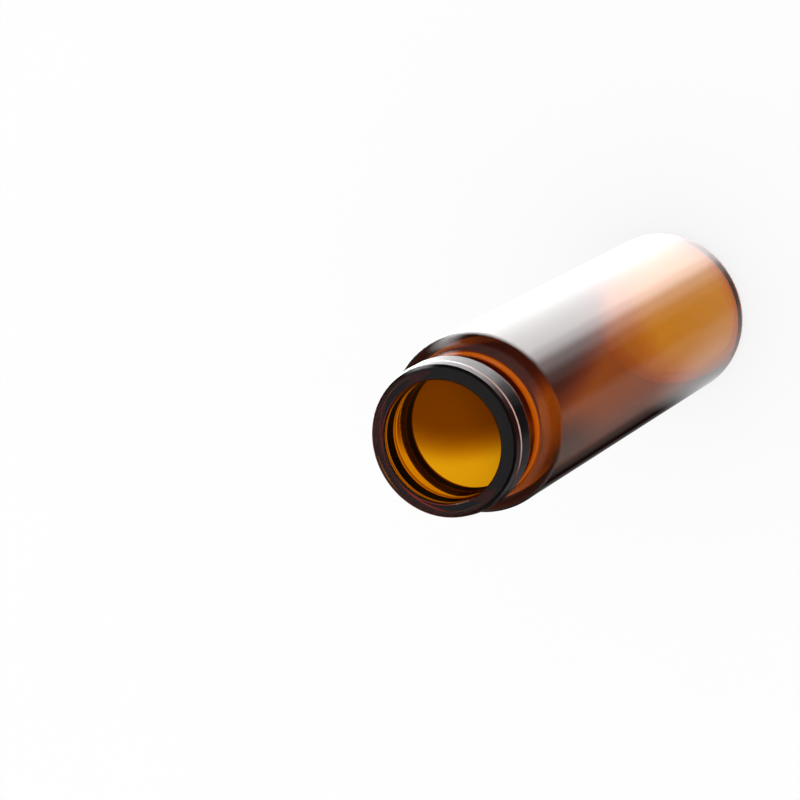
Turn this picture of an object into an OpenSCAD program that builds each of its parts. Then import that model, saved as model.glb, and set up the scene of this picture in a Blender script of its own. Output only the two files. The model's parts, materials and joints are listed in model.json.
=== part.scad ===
// Amber glass sample vial, open mouth, no closure.
// One piece of tube glass: a straight body, a domed base, a rounded shoulder,
// and a wide neck with two tapered bands for a closure to grip.
// It stands on its foot, with +Z up the axis and the origin under its middle.

/* [Body] */
// Outside diameter of the body
body_d = 27.5; // [24:0.5:40]
// Height from the foot to the lip
total_h = 95; // [50:1:140]
// Thickness of the side wall
wall_t = 1.3; // [0.9:0.1:2]

/* [Base] */
// Outside radius where the side turns under to the foot
heel_r = 2.4; // [1.5:0.1:4]
// Width of the flat ring that the vial stands on
foot_w = 0.8; // [0.4:0.1:2]
// Radius where the foot turns up into the dome under the base
foot_r = 2; // [1:0.1:3]
// Height of the dome under the middle of the base
push_up_h = 1; // [0.4:0.1:2]
// Thickness of the glass in the middle of the base
base_t = 1; // [0.8:0.1:3]
// Inside radius of the corner between the side and the floor
corner_r = 2.2; // [1:0.1:3]

/* [Shoulder] */
// Height from the end of the straight side to the lip
neck_h = 13.2; // [12:0.2:20]
// Outside radius of the shoulder
shoulder_r = 3.4; // [2.8:0.1:4]
// Thickness of the glass over the shoulder, measured up the axis
crown_t = 1; // [0.7:0.1:1.6]
// Radius of the hollow between the shoulder and the waist
hollow_r = 1.2; // [0.8:0.1:1.8]
// Radius inside, where the body narrows to the bore
throat_r = 1.2; // [0.6:0.1:1.6]

/* [Neck] */
// Outside diameter of the two bands, at the lower edge of each
neck_d = 23.5; // [22.6:0.1:24.5]
// Outside diameter of the waist below the bands
waist_d = 22.1; // [21.2:0.1:22.3]
// Diameter of the bore
bore_d = 18.4; // [17.5:0.1:19.6]
// Height of the two bands together, measured from the lip
bands_h = 5.5; // [4:0.1:6]
// Slope of the bands' sides, which lean in towards the lip, in degrees
band_slope = 8.5; // [4:0.5:10]
// Distance from the lip to the ledge between the bands
ledge_at = 2.3; // [1.8:0.1:3]
// Radius of the ledge's edge, and of the hollow under it
ledge_r = 0.15; // [0.05:0.05:0.3]
// Radius of the outer edge of the lip
lip_r = 1; // [0.4:0.1:1.2]
// Radius of the inner edge of the lip
mouth_r = 0.4; // [0.2:0.1:0.8]

/* [Hidden] */
$fn = 120;

// How far the cutting tool for the bore runs past the lip
overrun = 1;

// How far arcs that touch are let into each other, so that no sliver stays between them
bite = 0.0005;

body_r = body_d / 2;
neck_r = neck_d / 2;
waist_r = waist_d / 2;
bore_r = bore_d / 2;
cavity_r = body_r - wall_t;
bands_z = total_h - bands_h;
ledge_z = total_h - ledge_at;

// The lower band falls to the waist in two equal arcs. This is the centre of the upper one.
step_r = (neck_r - waist_r) / 2;
lower = [neck_r - step_r, bands_z + step_r];

// The ledge's two arcs fit in what the lower band's slope leaves them
ledge_room = ((ledge_z - lower.y) * sin(band_slope) - step_r * (1 - cos(band_slope)))
    / (1 + cos(band_slope) + sin(band_slope));
soft_r = min(ledge_r, 0.9 * ledge_room);

// Centres of the ledge's edge, of the hollow under it and of the lip's outer edge
edge = [neck_r - soft_r, ledge_z + soft_r];
under = leaning(lower, step_r, ledge_z - soft_r, -soft_r);
lip = leaning(edge, soft_r, total_h - lip_r, lip_r);

// Centre of the shoulder's arc outside. The arc inside is the same one, moved in
// by the wall's thickness and down by the crown's.
shoulder = [body_r - shoulder_r, total_h - neck_h];
vault = shoulder - [wall_t, crown_t];

// Centre of the hollow, which touches the waist and the shoulder's outer arc.
// On a body so wide that the shoulder has a flat top, it touches that instead.
hollow = beside(shoulder, waist_r + hollow_r, hollow_r);

// Centre of the throat, which touches the bore and the shoulder's inner arc or flat
throat = beside(vault, bore_r + throat_r, throat_r);

// Centre of the foot's inner rounding, and the ball under the base that it touches.
// The ball's centre lies dome_z below the foot, and its top is push_up_h above it.
foot = [body_r - heel_r - foot_w, foot_r];
dome_z = (foot.x * foot.x / push_up_h - push_up_h) / 2 - foot_r;
dome_r = dome_z + push_up_h;

// The floor inside follows the same ball, and the corner's arc touches it
floor_r = dome_r + base_t;
corner_x = cavity_r - corner_r;
corner = [corner_x, leg(floor_r + corner_r, corner_x) - dome_z];

// Second leg of a right triangle
function leg(long_side, first_leg) = sqrt(long_side * long_side - first_leg * first_leg);

// Centre, x from the axis, of an arc of radius r that rests on the shoulder arc round c
function beside(c, x, r) = [x, c.y + leg(shoulder_r + r, max(0, x - c.x))];

// Centre, at height z, of an arc of radius r on the leaning side of a band that
// also touches the arc of radius c_r round c. A hollow arc has a negative radius.
function leaning(c, c_r, z, r) =
    [c.x + (c_r - r - (z - c.y) * sin(band_slope)) / cos(band_slope), z];

// Point where the arc of radius r round c touches that side
function flank(c, r) = c + r * [cos(band_slope), sin(band_slope)];

// Circle placed by its centre
module disc(c, r) {
    translate(c) circle(r);
}

// Rectangle from the axis out to r, between two heights
module block(r, low, high) {
    translate([0, low]) square([r, high - low]);
}

// Area left of the line between two centres
module neck_side(low, high) {
    polygon([[0, low.y], [min(low.x, high.x), low.y], high, [0, high.y]]);
}

// Straight side, with the heel and the shoulder
module body_side() {
    block(body_r - heel_r, 0, heel_r);
    disc([body_r - heel_r, heel_r], heel_r);
    block(body_r, heel_r, shoulder.y);
    disc(shoulder, shoulder_r);
    block(shoulder.x, shoulder.y, shoulder.y + shoulder_r);
}

// Neck up to the bands, with the hollow below it and the step above it
module waist() {
    difference() {
        neck_side(shoulder, hollow);
        disc(hollow, hollow_r + bite);
    }
    block(waist_r, shoulder.y, bands_z);
    difference() {
        block(lower.x, bands_z - step_r, bands_z);
        disc([lower.x, bands_z - step_r], step_r);
    }
}

// Lower band, up to the hollow under the ledge
module lower_band() {
    difference() {
        polygon([
            [0, bands_z], [lower.x, bands_z], flank(lower, step_r - bite),
            flank(under, -soft_r), under, [under.x, ledge_z], [0, ledge_z]
        ]);
        disc(under, soft_r + bite);
    }
    disc(lower, step_r);
}

// Upper band, from the ledge to the lip
module upper_band() {
    polygon([
        [0, ledge_z], [edge.x, ledge_z], flank(edge, soft_r - bite),
        flank(lip, lip_r - bite), [lip.x, total_h], [0, total_h]
    ]);
    disc(edge, soft_r);
    disc(lip, lip_r);
}

// Air under the domed base, inside the ring of the foot
module under_base() {
    difference() {
        union() {
            disc([0, -dome_z], dome_r);
            polygon([[0, -dome_z], [foot.x, -dome_z], foot]);
        }
        disc(foot, foot_r + bite);
    }
}

// Air inside the body, up to the bore
module chamber() {
    difference() {
        union() {
            polygon([[0, -dome_z], corner, [0, corner.y]]);
            disc(corner, corner_r + bite);
            block(cavity_r, corner.y, vault.y);
            disc(vault, shoulder_r + bite);
            block(vault.x, vault.y, vault.y + shoulder_r);
            neck_side(vault, throat);
        }
        disc([0, -dome_z], floor_r);
        disc(throat, throat_r);
    }
}

// Air inside the neck, with the rounded inner edge of the lip
module bore() {
    block(bore_r, throat.y, total_h + overrun);
    difference() {
        block(bore_r + mouth_r, total_h - mouth_r, total_h + overrun);
        disc([bore_r + mouth_r, total_h - mouth_r], mouth_r);
    }
}

module vial() {
    color([0.62, 0.27, 0.03, 0.6])
        rotate_extrude()
            difference() {
                union() {
                    body_side();
                    waist();
                    lower_band();
                    upper_band();
                }
                under_base();
                chamber();
                bore();
            }
}

vial();
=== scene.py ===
import json
import math

import bmesh
import bpy
from mathutils import Matrix, Vector


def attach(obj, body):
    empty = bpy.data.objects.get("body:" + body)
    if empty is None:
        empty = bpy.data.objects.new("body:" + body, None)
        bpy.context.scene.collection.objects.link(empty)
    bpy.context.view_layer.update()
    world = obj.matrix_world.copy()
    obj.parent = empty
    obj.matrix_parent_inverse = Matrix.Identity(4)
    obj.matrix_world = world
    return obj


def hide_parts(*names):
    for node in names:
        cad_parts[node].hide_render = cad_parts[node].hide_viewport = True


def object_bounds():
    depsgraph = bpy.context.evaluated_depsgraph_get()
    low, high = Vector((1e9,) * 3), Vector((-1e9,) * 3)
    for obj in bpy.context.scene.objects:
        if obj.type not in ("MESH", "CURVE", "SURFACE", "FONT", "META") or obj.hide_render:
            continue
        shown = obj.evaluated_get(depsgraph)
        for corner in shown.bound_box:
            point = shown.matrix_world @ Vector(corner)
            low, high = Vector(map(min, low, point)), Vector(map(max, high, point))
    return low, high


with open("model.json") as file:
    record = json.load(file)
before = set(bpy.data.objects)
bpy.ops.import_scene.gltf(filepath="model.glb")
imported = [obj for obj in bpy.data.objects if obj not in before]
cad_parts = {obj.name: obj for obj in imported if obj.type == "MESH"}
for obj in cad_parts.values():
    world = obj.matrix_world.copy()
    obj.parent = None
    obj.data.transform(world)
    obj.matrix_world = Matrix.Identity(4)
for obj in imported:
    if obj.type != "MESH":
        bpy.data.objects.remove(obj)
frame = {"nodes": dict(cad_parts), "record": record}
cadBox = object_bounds()
mm = 0.001
scene = bpy.context.scene
print("frame loaded:", sorted(frame["nodes"]))


def linearColour(hexCode):
    # sRGB hex to the linear values that Blender wants
    parts = [int(hexCode[i:i + 2], 16) / 255 for i in (1, 3, 5)]
    return [p / 12.92 if p <= 0.04045 else ((p + 0.055) / 1.055) ** 2.4 for p in parts] + [1.0]


def addNode(tree, kind, inputs=None, **settings):
    # inputs holds a value or another node's output socket for each input
    made = tree.nodes.new(kind)
    for name, value in settings.items():
        setattr(made, name, value)
    for key, value in (inputs or {}).items():
        if isinstance(value, bpy.types.NodeSocket):
            tree.links.new(value, made.inputs[key])
        else:
            made.inputs[key].default_value = value
    return made


def emptyTree(owner):
    owner.use_nodes = True
    owner.node_tree.nodes.clear()
    return owner.node_tree


camera = {
    "aim": (8.27, 0.0, 100.24),   # mm, the point the lens is turned to
    "distance": 523.9,            # mm
    "elevation": 62.1,            # degrees above the horizon
    "roll": -118.1,               # lays the vial across the view, mouth down and to the left
    "lens": 163.8,                # mm
    "sensor": 36,                 # mm
    "nearest": 0.01,              # m, the range the camera sees
    "farthest": 20,
}


def makeCamera(c):
    data = bpy.data.cameras.new("camera")
    data.lens = c["lens"]
    data.sensor_width = c["sensor"]
    data.clip_start = c["nearest"]
    data.clip_end = c["farthest"]
    shot = bpy.data.objects.new("camera", data)
    tilt = math.radians(c["elevation"])
    back = Vector((0, -math.cos(tilt), math.sin(tilt)))
    turn = Matrix.Rotation(math.pi / 2 - tilt, 4, "X") @ Matrix.Rotation(math.radians(c["roll"]), 4, "Z")
    shot.matrix_world = Matrix.Translation((Vector(c["aim"]) + back * c["distance"]) * mm) @ turn
    scene.collection.objects.link(shot)
    scene.camera = shot


makeCamera(camera)
print("camera set")


mounts = {m["name"]: m for m in frame["record"]["mounts"]}

vialSizes = {
    "height": cadBox[1].z / mm,
    "bodyR": cadBox[1].x / mm,
    "neckR": 11.75,       # at the lower edge of each band
    "boreR": mounts["mouth"]["dims"]["r_mm"],
    "wall": 1.3,
    "heelR": 2.4,
    "footWidth": 0.8,
    "footR": 2.0,
    "pushUp": 1.0,        # height of the dome under the base
    "baseThick": 1.0,
    "cornerR": 2.2,       # inside, between side and floor
    "neckHeight": 13.2,   # from the end of the straight side to the lip
    "shoulderR": 3.4,     # inside and outside
    "crown": 1.0,         # thickness over the shoulder, measured up the axis
    "hollowR": 1.2,
    "throatR": 1.2,
    "waistR": 11.05,
    "bandsHeight": 5.5,
    "bandSlope": 10.3,    # degrees that the bands lean in towards the lip, 1.8 more than in the CAD
    "ledgeAt": 2.3,       # below the lip
    "ledgeR": 0.15,
    "lipR": 1.0,
    "mouthR": 0.4,
    "arcStep": 5,         # degrees between points of an arc
    "fewestSteps": 8,     # in a short arc
    "turns": 160,         # points round the axis
    "weld": 0.0005,       # points closer than this become one
    "sharpAngle": 25,     # degrees, a steeper edge stays sharp
}


def sectionArcs(s):
    # The wall's outline as arcs (x, z, radius, first angle, last angle), from under the base
    # up the outside, over the lip, down the bore and back to the middle of the floor.
    shoulderX = s["bodyR"] - s["shoulderR"]
    shoulderZ = s["height"] - s["neckHeight"]
    vaultX = shoulderX - s["wall"]
    vaultZ = shoulderZ - s["crown"]
    hollowX = s["waistR"] + s["hollowR"]
    hollowZ = shoulderZ + math.sqrt((s["shoulderR"] + s["hollowR"]) ** 2 - (hollowX - shoulderX) ** 2)
    throatX = s["boreR"] + s["throatR"]
    throatZ = vaultZ + math.sqrt((s["shoulderR"] + s["throatR"]) ** 2 - (throatX - vaultX) ** 2)
    footX = s["bodyR"] - s["heelR"] - s["footWidth"]
    domeZ = (footX ** 2 / s["pushUp"] - s["pushUp"]) / 2 - s["footR"]
    domeR = domeZ + s["pushUp"]
    floorR = domeR + s["baseThick"]
    cornerX = s["bodyR"] - s["wall"] - s["cornerR"]
    cornerZ = math.sqrt((floorR + s["cornerR"]) ** 2 - cornerX ** 2) - domeZ

    footAngle = math.degrees(math.atan2(s["footR"] + domeZ, footX))
    shoulderAngle = math.degrees(math.atan2(hollowZ - shoulderZ, hollowX - shoulderX))
    throatAngle = math.degrees(math.atan2(throatZ - vaultZ, throatX - vaultX))
    cornerAngle = math.degrees(math.atan2(cornerZ + domeZ, cornerX))

    # the bands lean in, so the centre of the arc that ends each one is found along its side
    slope = s["bandSlope"]
    stepR = (s["neckR"] - s["waistR"]) / 2
    lowX = s["neckR"] - stepR
    lowZ = s["height"] - s["bandsHeight"] + stepR
    underZ = s["height"] - s["ledgeAt"] - s["ledgeR"]
    underX = leanTo(lowX, lowZ, stepR, underZ, -s["ledgeR"], slope)
    edgeX = s["neckR"] - s["ledgeR"]
    edgeZ = s["height"] - s["ledgeAt"] + s["ledgeR"]
    lipZ = s["height"] - s["lipR"]
    lipX = leanTo(edgeX, edgeZ, s["ledgeR"], lipZ, s["lipR"], slope)

    return [
        (0, -domeZ, domeR, 90, footAngle),
        (footX, s["footR"], s["footR"], footAngle + 180, 270),
        (s["bodyR"] - s["heelR"], s["heelR"], s["heelR"], 270, 360),
        (shoulderX, shoulderZ, s["shoulderR"], 0, shoulderAngle),
        (hollowX, hollowZ, s["hollowR"], shoulderAngle + 180, 180),
        (lowX, lowZ - 2 * stepR, stepR, 180, 90),
        (lowX, lowZ, stepR, 270, 360 + slope),
        (underX, underZ, s["ledgeR"], 180 + slope, 90),
        (edgeX, edgeZ, s["ledgeR"], 270, 360 + slope),
        (lipX, lipZ, s["lipR"], slope, 90),
        (s["boreR"] + s["mouthR"], s["height"] - s["mouthR"], s["mouthR"], 90, 180),
        (throatX, throatZ, s["throatR"], 180, throatAngle + 180),
        (vaultX, vaultZ, s["shoulderR"], throatAngle, 0),
        (cornerX, cornerZ, s["cornerR"], 0, cornerAngle - 180),
        (0, -domeZ, floorR, cornerAngle, 90),
    ]


def leanTo(x, z, radius, endZ, endRadius, slope):
    # centre x, at height endZ, of the arc on the sloping side that leaves the arc (x, z, radius)
    tilt = math.radians(slope)
    return x + (radius - endRadius - (endZ - z) * math.sin(tilt)) / math.cos(tilt)


def spinGlass(s):
    shape = bmesh.new()
    previous = None
    for x, z, radius, first, last in sectionArcs(s):
        start = math.radians(first)
        point = shape.verts.new((x + radius * math.cos(start), 0, z + radius * math.sin(start)))
        if previous:
            shape.edges.new((previous, point))
        steps = max(s["fewestSteps"], math.ceil(abs(last - first) / s["arcStep"]))
        swept = bmesh.ops.spin(shape, geom=[point], cent=(x, 0, z), axis=(0, -1, 0),
                               angle=math.radians(last - first), steps=steps, use_duplicate=False)
        previous = [g for g in swept["geom_last"] if isinstance(g, bmesh.types.BMVert)][0]
    bmesh.ops.remove_doubles(shape, verts=shape.verts, dist=s["weld"])
    bmesh.ops.spin(shape, geom=shape.verts[:] + shape.edges[:], cent=(0, 0, 0), axis=(0, 0, 1),
                   angle=2 * math.pi, steps=s["turns"], use_merge=True, use_duplicate=False)
    bmesh.ops.remove_doubles(shape, verts=shape.verts, dist=s["weld"])
    bmesh.ops.recalc_face_normals(shape, faces=shape.faces)
    bmesh.ops.scale(shape, vec=(mm, mm, mm), verts=shape.verts)
    for face in shape.faces:
        face.smooth = True
    sharp = math.radians(s["sharpAngle"])
    for edge in shape.edges:
        edge.smooth = len(edge.link_faces) == 2 and edge.calc_face_angle() < sharp
    data = bpy.data.meshes.new("glassVial")
    shape.to_mesh(data)
    shape.free()
    piece = bpy.data.objects.new("glassVial", data)
    scene.collection.objects.link(piece)
    # long flats keep true normals beside arcs
    weighted = piece.modifiers.new("evenShine", "WEIGHTED_NORMAL")
    weighted.keep_sharp = True
    return piece


amberGlassFinish = {
    "clear": "#FFFFFF",
    "clearAlt": "#FFF9EE",
    "absorbColour": (0.918, 0.783, 0.0),    # linear share let through, against the density
    "density": 3600,                       # per metre
    "ior": 1.5,
    "streakSpacing": 2.2,                  # mm round the wall, the draw lines of the tube
    "streakLength": 60,                    # mm along the axis
    "streakHeight": 0.004,                 # mm
    "hazeFrom": 0.3,                       # part of the streaks' range that dulls the polish
    "hazeTo": 0.7,
    "haziest": 0.03,                       # roughness where it is dullest
    "chamferFrom": 92.70,                  # mm up, the ledge's lower edge is tooled to a fine chamfer
    "chamferTo": 93.2,
    "chamferDepth": 0.17,                  # mm
    "chamferInner": 10.5,                  # mm from the axis, so that the bore has none
}


def amberGlass(f):
    # Amber borosilicate glass, drawn as tube and worked in a flame: fire-polished, clear all
    # through, darker wherever the eye looks along the wall, with faint draw lines up the side.
    material = bpy.data.materials.new("amberBorosilicateGlass")
    tree = emptyTree(material)
    place = addNode(tree, "ShaderNodeTexCoord").outputs["Object"]
    across = 1 / (f["streakSpacing"] * mm)
    along = 1 / (f["streakLength"] * mm)
    drawn = addNode(tree, "ShaderNodeMapping", {"Vector": place, "Scale": (across, across, along)})
    streaks = addNode(tree, "ShaderNodeTexNoise", {"Vector": drawn.outputs[0], "Scale": 1.0, "Detail": 2.0})
    up = addNode(tree, "ShaderNodeSeparateXYZ", {0: place})
    chamfer = addNode(tree, "ShaderNodeMapRange", {
        "Value": up.outputs["Z"], "From Min": f["chamferFrom"] * mm, "From Max": f["chamferTo"] * mm})
    flat = addNode(tree, "ShaderNodeVectorMath", {0: place, 1: (1, 1, 0)}, operation="MULTIPLY")
    offAxis = addNode(tree, "ShaderNodeVectorMath", {0: flat.outputs[0]}, operation="LENGTH")
    outside = addNode(tree, "ShaderNodeMath", {0: offAxis.outputs["Value"], 1: f["chamferInner"] * mm},
                      operation="GREATER_THAN")
    outsideOnly = addNode(tree, "ShaderNodeMath", {0: chamfer.outputs[0], 1: outside.outputs[0]},
                          operation="MULTIPLY")
    edge = addNode(tree, "ShaderNodeBump", {"Height": outsideOnly.outputs[0], "Strength": 1.0,
                                            "Distance": f["chamferDepth"] * mm})
    bump = addNode(tree, "ShaderNodeBump", {"Height": streaks.outputs["Fac"], "Strength": 1.0,
                                            "Distance": f["streakHeight"] * mm, "Normal": edge.outputs[0]})
    haze = addNode(tree, "ShaderNodeMapRange", {
        "Value": streaks.outputs["Fac"], "From Min": f["hazeFrom"], "From Max": f["hazeTo"],
        "To Min": 0.0, "To Max": f["haziest"]})
    tint = addNode(tree, "ShaderNodeMix", {"Factor": streaks.outputs["Fac"], "A": linearColour(f["clear"]),
                                           "B": linearColour(f["clearAlt"])}, data_type="RGBA")
    glass = addNode(tree, "ShaderNodeBsdfPrincipled", {
        "Base Color": tint.outputs["Result"], "Roughness": haze.outputs[0], "IOR": f["ior"],
        "Transmission Weight": 1.0, "Normal": bump.outputs[0]})
    body = addNode(tree, "ShaderNodeVolumeAbsorption", {"Color": list(f["absorbColour"]) + [1],
                                                        "Density": f["density"]})
    addNode(tree, "ShaderNodeOutputMaterial", {"Surface": glass.outputs[0], "Volume": body.outputs[0]})
    return material


vial = spinGlass(vialSizes)
vial.data.materials.append(amberGlass(amberGlassFinish))
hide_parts("vial")
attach(vial, "root")
print("glass made:", len(vial.data.polygons), "faces")


# The glass is shown a floor of its own. Its levels and colours stand for a studio table and
# another vial close by. The camera sees plain white paper.
# Painted light and shade: the floor that the glass shows is painted darker in a shadow of the vial and of a
# vial beside it, and lighter past its ends and under its base
floorLook = {
    "size": 4.0,            # m
    "colour": "#FBFBFA",
    "colourAlt": "#FFFFFF",
    "mottle": 25,           # mm, size of the paper's faint cloudiness
    "ownLight": 0.8,        # share of the floor that shows plain white whatever falls on it
    "beside": 1.0,                   # brightness of the floor as the glass shows it, close to the vial, where its painted shade lies
    "open": 1.45,                    # the same past both ends of that painted shade
    "beyond": 1.0,                   # the same across the rest of the room
    "roomFrom": 120,                 # mm from the vial
    "middleAt": 25,                  # mm along Y, halfway between the ends
    "middleReach": (13, 22),         # mm from there, where it starts to brighten and where it is open
    "paintedAmberShadow": (0.12, 0.04, 0.005),     # colour of the floor in the middle of a painted amber shadow of the vial
    "paintedAmberShadowAt": (14, 36.5),            # mm, middle of that shade
    "paintedAmberShadowReach": (22, 24.5),         # mm, half its width and length
    "paintedAmberShadowSoft": (0.75, 1.15),        # where it starts to fade and where it ends, in reaches
    "thinner": 0.7,                  # its thickness past the neck
    "thinFrom": 30,                  # mm along Y
    "thinTo": 42,
    "roomSoft": (0.8, 1.2),
    "dark": 0.25,                    # share left in the middle of a painted shadow beside the shoulder
    "darkAt": (-17, 31),
    "darkReach": (8, 8),
    "darkSoft": (0.3, 1.5),
    "inWall": 0.06,                  # painted shade: share left of light that was mirrored on its way, as in the wall
    "base": (1.05, 1.4, 1.1),        # a painted pool of yellow light on the floor, seen through the base
    "baseAt": (-1, -2),
    "baseReach": (12, 10),
    "baseSoft": (0.6, 1.1),
}


def softPatch(tree, at, reach, soft, inside, outside):
    # a soft-edged ellipse on the floor: inside in its middle, outside past its edge
    place = addNode(tree, "ShaderNodeTexCoord").outputs["Object"]
    scaled = addNode(tree, "ShaderNodeMapping", {
        "Vector": place, "Scale": (1 / (reach[0] * mm), 1 / (reach[1] * mm), 1),
        "Location": (-at[0] / reach[0], -at[1] / reach[1], 0)})
    flat = addNode(tree, "ShaderNodeVectorMath", {0: scaled.outputs[0], 1: (1, 1, 0)}, operation="MULTIPLY")
    away = addNode(tree, "ShaderNodeVectorMath", {0: flat.outputs[0]}, operation="LENGTH")
    patch = addNode(tree, "ShaderNodeMapRange", {
        "Value": away.outputs["Value"], "From Min": soft[0], "From Max": soft[1],
        "To Min": inside, "To Max": outside}, interpolation_type="SMOOTHSTEP")
    return patch.outputs[0]


def makeFloor(f):
    # Matt white paper: soft, even, with a very faint mottle, and painted light and shade that rays through
    # the glass see
    shape = bmesh.new()
    bmesh.ops.create_grid(shape, x_segments=1, y_segments=1, size=f["size"] / 2)
    data = bpy.data.meshes.new("floor")
    shape.to_mesh(data)
    shape.free()
    floor = bpy.data.objects.new("floor", data)
    scene.collection.objects.link(floor)
    floor.visible_glossy = False   # the glass mirrors the studio instead
    material = bpy.data.materials.new("whitePaperWithPaintedLight")
    tree = emptyTree(material)
    place = addNode(tree, "ShaderNodeTexCoord").outputs["Object"]
    mottle = addNode(tree, "ShaderNodeTexNoise", {
        "Vector": place, "Scale": 1 / (f["mottle"] * mm), "Detail": 3.0})
    shade = addNode(tree, "ShaderNodeMix", {"Factor": mottle.outputs["Fac"], "A": linearColour(f["colour"]),
                                            "B": linearColour(f["colourAlt"])}, data_type="RGBA")
    matt = addNode(tree, "ShaderNodeBsdfDiffuse", {"Color": shade.outputs["Result"]})
    # the glass shows the floor brighter past the ends of the vial's painted shade
    along = addNode(tree, "ShaderNodeSeparateXYZ", {0: place})
    offMiddle = addNode(tree, "ShaderNodeMath", {0: along.outputs["Y"], 1: f["middleAt"] * mm},
                        operation="SUBTRACT")
    farOff = addNode(tree, "ShaderNodeMath", {0: offMiddle.outputs[0]}, operation="ABSOLUTE")
    ends = addNode(tree, "ShaderNodeMapRange", {
        "Value": farOff.outputs[0],
        "From Min": f["middleReach"][0] * mm, "From Max": f["middleReach"][1] * mm,
        "To Min": f["beside"], "To Max": f["open"]}, interpolation_type="SMOOTHSTEP")
    room = (f["roomFrom"], f["roomFrom"])
    bright = addNode(tree, "ShaderNodeMix", {
        "Factor": softPatch(tree, (0, f["middleAt"]), room, f["roomSoft"], 0.0, 1.0),
        "A": ends.outputs[0], "B": f["beyond"]}, data_type="FLOAT").outputs["Result"]
    # painted shadow beside the shoulder
    dark = softPatch(tree, f["darkAt"], f["darkReach"], f["darkSoft"], f["dark"], 1.0)
    path = addNode(tree, "ShaderNodeLightPath")
    # painted shade for light mirrored inside the wall
    inWall = addNode(tree, "ShaderNodeMapRange", {
        "Value": path.outputs["Glossy Depth"], "To Min": 1.0, "To Max": f["inWall"]})
    for share in (dark, inWall.outputs[0]):
        bright = addNode(tree, "ShaderNodeMath", {0: bright, 1: share}, operation="MULTIPLY").outputs[0]

    # and a painted amber shadow of the vial
    thickest = addNode(tree, "ShaderNodeMapRange", {
        "Value": along.outputs["Y"], "From Min": f["thinFrom"] * mm, "From Max": f["thinTo"] * mm,
        "To Min": 1.0, "To Max": f["thinner"]}, interpolation_type="SMOOTHSTEP")
    inPaintedAmberShadow = softPatch(tree, f["paintedAmberShadowAt"], f["paintedAmberShadowReach"], f["paintedAmberShadowSoft"], 1.0, 0.0)
    thickness = addNode(tree, "ShaderNodeMath", {0: inPaintedAmberShadow, 1: thickest.outputs[0]}, operation="MULTIPLY")
    paintedAmberShadow = addNode(tree, "ShaderNodeGamma", {"Color": f["paintedAmberShadow"] + (1,), "Gamma": thickness.outputs[0]})
    # painted pool of yellow light under the base
    paintedLightUnderBase = addNode(tree, "ShaderNodeMix", {
        "Factor": softPatch(tree, f["baseAt"], f["baseReach"], f["baseSoft"], 1.0, 0.0),
        "A": paintedAmberShadow.outputs[0], "B": f["base"] + (1,)}, data_type="RGBA")
    level = addNode(tree, "ShaderNodeMix", {"Factor": 1.0, "A": paintedLightUnderBase.outputs["Result"], "B": bright},
                    data_type="RGBA", blend_type="MULTIPLY")
    shown = addNode(tree, "ShaderNodeMix", {
        "Factor": path.outputs["Is Camera Ray"], "A": level.outputs["Result"], "B": (1, 1, 1, 1)},
        data_type="RGBA")
    glow = addNode(tree, "ShaderNodeEmission", {"Color": shown.outputs["Result"], "Strength": 1.0})
    direct = addNode(tree, "ShaderNodeMath", {0: path.outputs["Is Camera Ray"], 1: f["ownLight"]},
                     operation="MULTIPLY")
    through = addNode(tree, "ShaderNodeMath", {0: path.outputs["Is Transmission Ray"],
                                               1: path.outputs["Is Glossy Ray"]}, operation="MAXIMUM")
    share = addNode(tree, "ShaderNodeMath", {0: direct.outputs[0], 1: through.outputs[0]},
                    operation="MAXIMUM")
    mixed = addNode(tree, "ShaderNodeMixShader", {
        0: share.outputs[0], 1: matt.outputs[0], 2: glow.outputs[0]})
    addNode(tree, "ShaderNodeOutputMaterial", {"Surface": mixed.outputs[0]})
    floor.data.materials.append(material)


makeFloor(floorLook)


glowCard = {
    "size": 0.08,          # m
    "depth": -0.5,         # mm, just under the floor, which the mirrored rays pass through
    "light": 0.75,
    "at": (-15, -5.5),     # mm, the bright patch of floor that the foot of the wall mirrors
    "reach": (14.5, 12.5),
    "soft": (0.35, 1.2),
}


def makeGlowCard(c):
    # Stands for the lit paper beside the foot, and only mirrored rays see it
    shape = bmesh.new()
    bmesh.ops.create_grid(shape, x_segments=1, y_segments=1, size=c["size"] / 2)
    bmesh.ops.translate(shape, vec=(0, 0, c["depth"] * mm), verts=shape.verts)
    data = bpy.data.meshes.new("glowCard")
    shape.to_mesh(data)
    shape.free()
    card = bpy.data.objects.new("glowCard", data)
    scene.collection.objects.link(card)
    card.visible_camera = False
    card.visible_diffuse = False
    card.visible_transmission = False
    card.visible_shadow = False
    material = bpy.data.materials.new("litPaperGlow")
    tree = emptyTree(material)
    patch = softPatch(tree, c["at"], c["reach"], c["soft"], 1.0, 0.0)
    clear = addNode(tree, "ShaderNodeBsdfTransparent")
    glow = addNode(tree, "ShaderNodeEmission", {"Color": (1, 1, 1, 1), "Strength": c["light"]})
    mixed = addNode(tree, "ShaderNodeMixShader", {
        0: patch, 1: clear.outputs[0], 2: glow.outputs[0]})
    addNode(tree, "ShaderNodeOutputMaterial", {"Surface": mixed.outputs[0]})
    card.data.materials.append(material)


makeGlowCard(glowCard)
print("floor laid")


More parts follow.
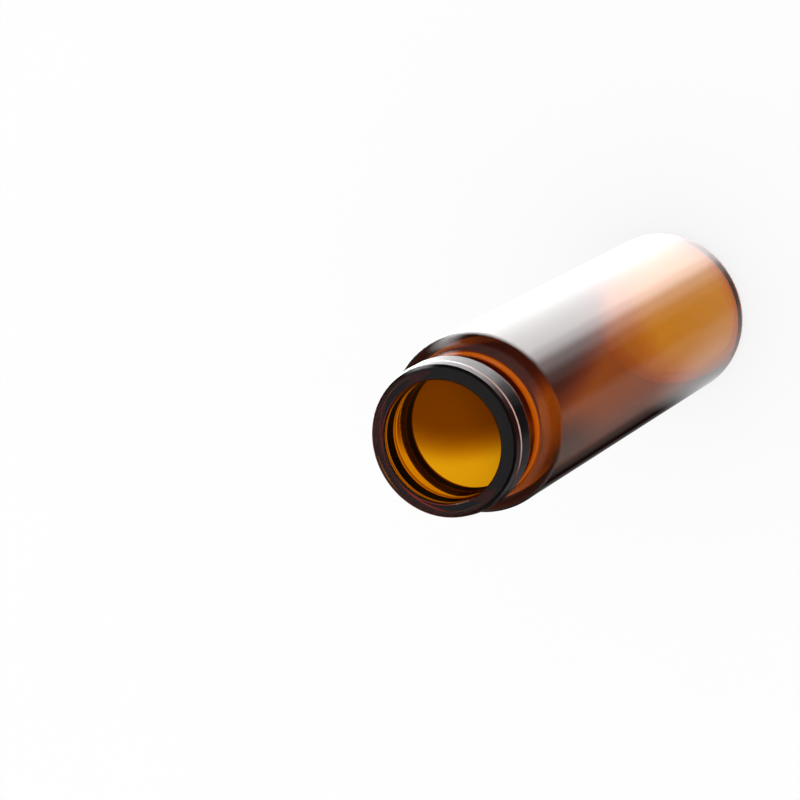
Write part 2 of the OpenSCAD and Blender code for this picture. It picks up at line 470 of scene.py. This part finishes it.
# As with the floor, what the glass mirrors and lets through is listed here
studio = {
    "plain": 1.0,             # what falls on matt surfaces
    "through": (0.3, 0.17, 0.07),   # dark amber surround that rays through the glass see, past the floor
    "ceiling": "#A7AAAC",     # above the mouth
    "wall": 0.07,             # the room at eye level
    "under": 1.5,             # the white floor, mirrored by whatever faces down
    "underFrom": -0.97,       # heights as the sine of the angle up from the horizon
    "underTo": -0.91,
    "lowTop": -0.73,          # the bright surround ends here
    "wallFrom": -0.50,
    "wallTo": 0.25,
    "ceilingFrom": 0.6,
    "ringPower": 5.0,
    # brightness round the vial, by compass degrees from +X, as a share of ringPower
    "ring": [(-180, 0.06), (-140, 0.06), (-122, 0.02), (-100, 0.02), (-86, 0.06), (-68, 0.22),
             (-50, 0.65), (-40, 0.85), (60, 0.85), (75, 0.45), (90, 0.20), (112, 0.02), (130, 0.0),
             (148, 0.015), (166, 0.05), (180, 0.06)],
    "window": 15,             # compass degrees of the soft window that stands upright beside the vial
    "windowWidth": 34,
    "windowPower": 4.0,
    "glow": (0.45, 0.19, 0.11),   # warm light from behind, low over the floor
    "glowAt": 95,             # compass degrees
    "glowWidth": 150,
}


def makeStudio(s):
    world = bpy.data.worlds.new("studio")
    scene.world = world
    tree = emptyTree(world)
    way = addNode(tree, "ShaderNodeTexCoord").outputs["Generated"]
    parts = addNode(tree, "ShaderNodeSeparateXYZ", {0: way})
    compass = addNode(tree, "ShaderNodeMath", {0: parts.outputs["Y"], 1: parts.outputs["X"]},
                      operation="ARCTAN2")
    aroundShare = addNode(tree, "ShaderNodeMapRange", {"Value": compass.outputs[0], "From Min": -math.pi,
                                                       "From Max": math.pi})
    ramp = addNode(tree, "ShaderNodeValToRGB", {"Fac": aroundShare.outputs[0]})
    ramp.color_ramp.interpolation = "EASE"
    stops = ramp.color_ramp.elements
    while len(stops) < len(s["ring"]):
        stops.new(0.5)
    for stop, (angle, level) in zip(stops, s["ring"]):
        stop.position = (angle + 180) / 360
        stop.color = (level, level, level, 1)
    ring = addNode(tree, "ShaderNodeVectorMath", {0: ramp.outputs["Color"], "Scale": s["ringPower"]},
                   operation="SCALE")

    # the upright window, soft at both sides
    side = addNode(tree, "ShaderNodeMath", {0: compass.outputs[0], 1: math.radians(s["window"])},
                   operation="SUBTRACT")
    offSide = addNode(tree, "ShaderNodeMath", {0: side.outputs[0]}, operation="ABSOLUTE")
    window = addNode(tree, "ShaderNodeMapRange", {
        "Value": offSide.outputs[0], "From Min": 0.0, "From Max": math.radians(s["windowWidth"]) / 2,
        "To Min": s["windowPower"], "To Max": s["wall"]}, interpolation_type="SMOOTHSTEP")

    low = addNode(tree, "ShaderNodeMapRange", {
        "Value": parts.outputs["Z"], "From Min": s["lowTop"], "From Max": s["wallFrom"]},
        interpolation_type="SMOOTHSTEP")
    high = addNode(tree, "ShaderNodeMapRange", {
        "Value": parts.outputs["Z"], "From Min": s["wallTo"], "From Max": s["ceilingFrom"]},
        interpolation_type="SMOOTHSTEP")
    under = addNode(tree, "ShaderNodeMapRange", {
        "Value": parts.outputs["Z"], "From Min": s["underFrom"], "From Max": s["underTo"]},
        interpolation_type="SMOOTHSTEP")
    floorRing = addNode(tree, "ShaderNodeMix", {"Factor": under.outputs[0], "A": (s["under"],) * 3 + (1,),
                                                "B": ring.outputs[0]}, data_type="RGBA")

    # a warm glow behind the vial
    turned = addNode(tree, "ShaderNodeMath", {0: compass.outputs[0], 1: math.radians(s["glowAt"])},
                     operation="SUBTRACT")
    offGlow = addNode(tree, "ShaderNodeMath", {0: turned.outputs[0]}, operation="ABSOLUTE")
    inGlow = addNode(tree, "ShaderNodeMapRange", {
        "Value": offGlow.outputs[0], "From Min": 0.0, "From Max": math.radians(s["glowWidth"]) / 2,
        "To Min": 1.0, "To Max": 0.0}, interpolation_type="SMOOTHSTEP")
    eyeLevel = addNode(tree, "ShaderNodeMix", {"Factor": inGlow.outputs[0], "A": window.outputs[0],
                                               "B": s["glow"] + (1,)}, data_type="RGBA")
    lower = addNode(tree, "ShaderNodeMix", {"Factor": low.outputs[0], "A": floorRing.outputs["Result"],
                                            "B": eyeLevel.outputs["Result"]}, data_type="RGBA")
    room = addNode(tree, "ShaderNodeMix", {"Factor": high.outputs[0], "A": lower.outputs["Result"],
                                           "B": linearColour(s["ceiling"])}, data_type="RGBA")

    # mirrored rays see the room, rays through the glass a dark amber surround under a grey ceiling
    pale = addNode(tree, "ShaderNodeMix", {"Factor": high.outputs[0], "A": s["through"] + (1,),
                                           "B": linearColour(s["ceiling"])}, data_type="RGBA")
    path = addNode(tree, "ShaderNodeLightPath")
    mirrored = addNode(tree, "ShaderNodeMix", {"Factor": path.outputs["Is Glossy Ray"],
                                               "A": (s["plain"],) * 3 + (1,), "B": room.outputs["Result"]},
                       data_type="RGBA")
    seen = addNode(tree, "ShaderNodeMix", {"Factor": path.outputs["Is Transmission Ray"],
                                           "A": mirrored.outputs["Result"], "B": pale.outputs["Result"]},
                   data_type="RGBA")
    back = addNode(tree, "ShaderNodeBackground", {"Color": seen.outputs["Result"], "Strength": 1.0})
    addNode(tree, "ShaderNodeOutputWorld", {"Surface": back.outputs[0]})


makeStudio(studio)
scene.view_settings.view_transform = "Standard"
print("studio lit")
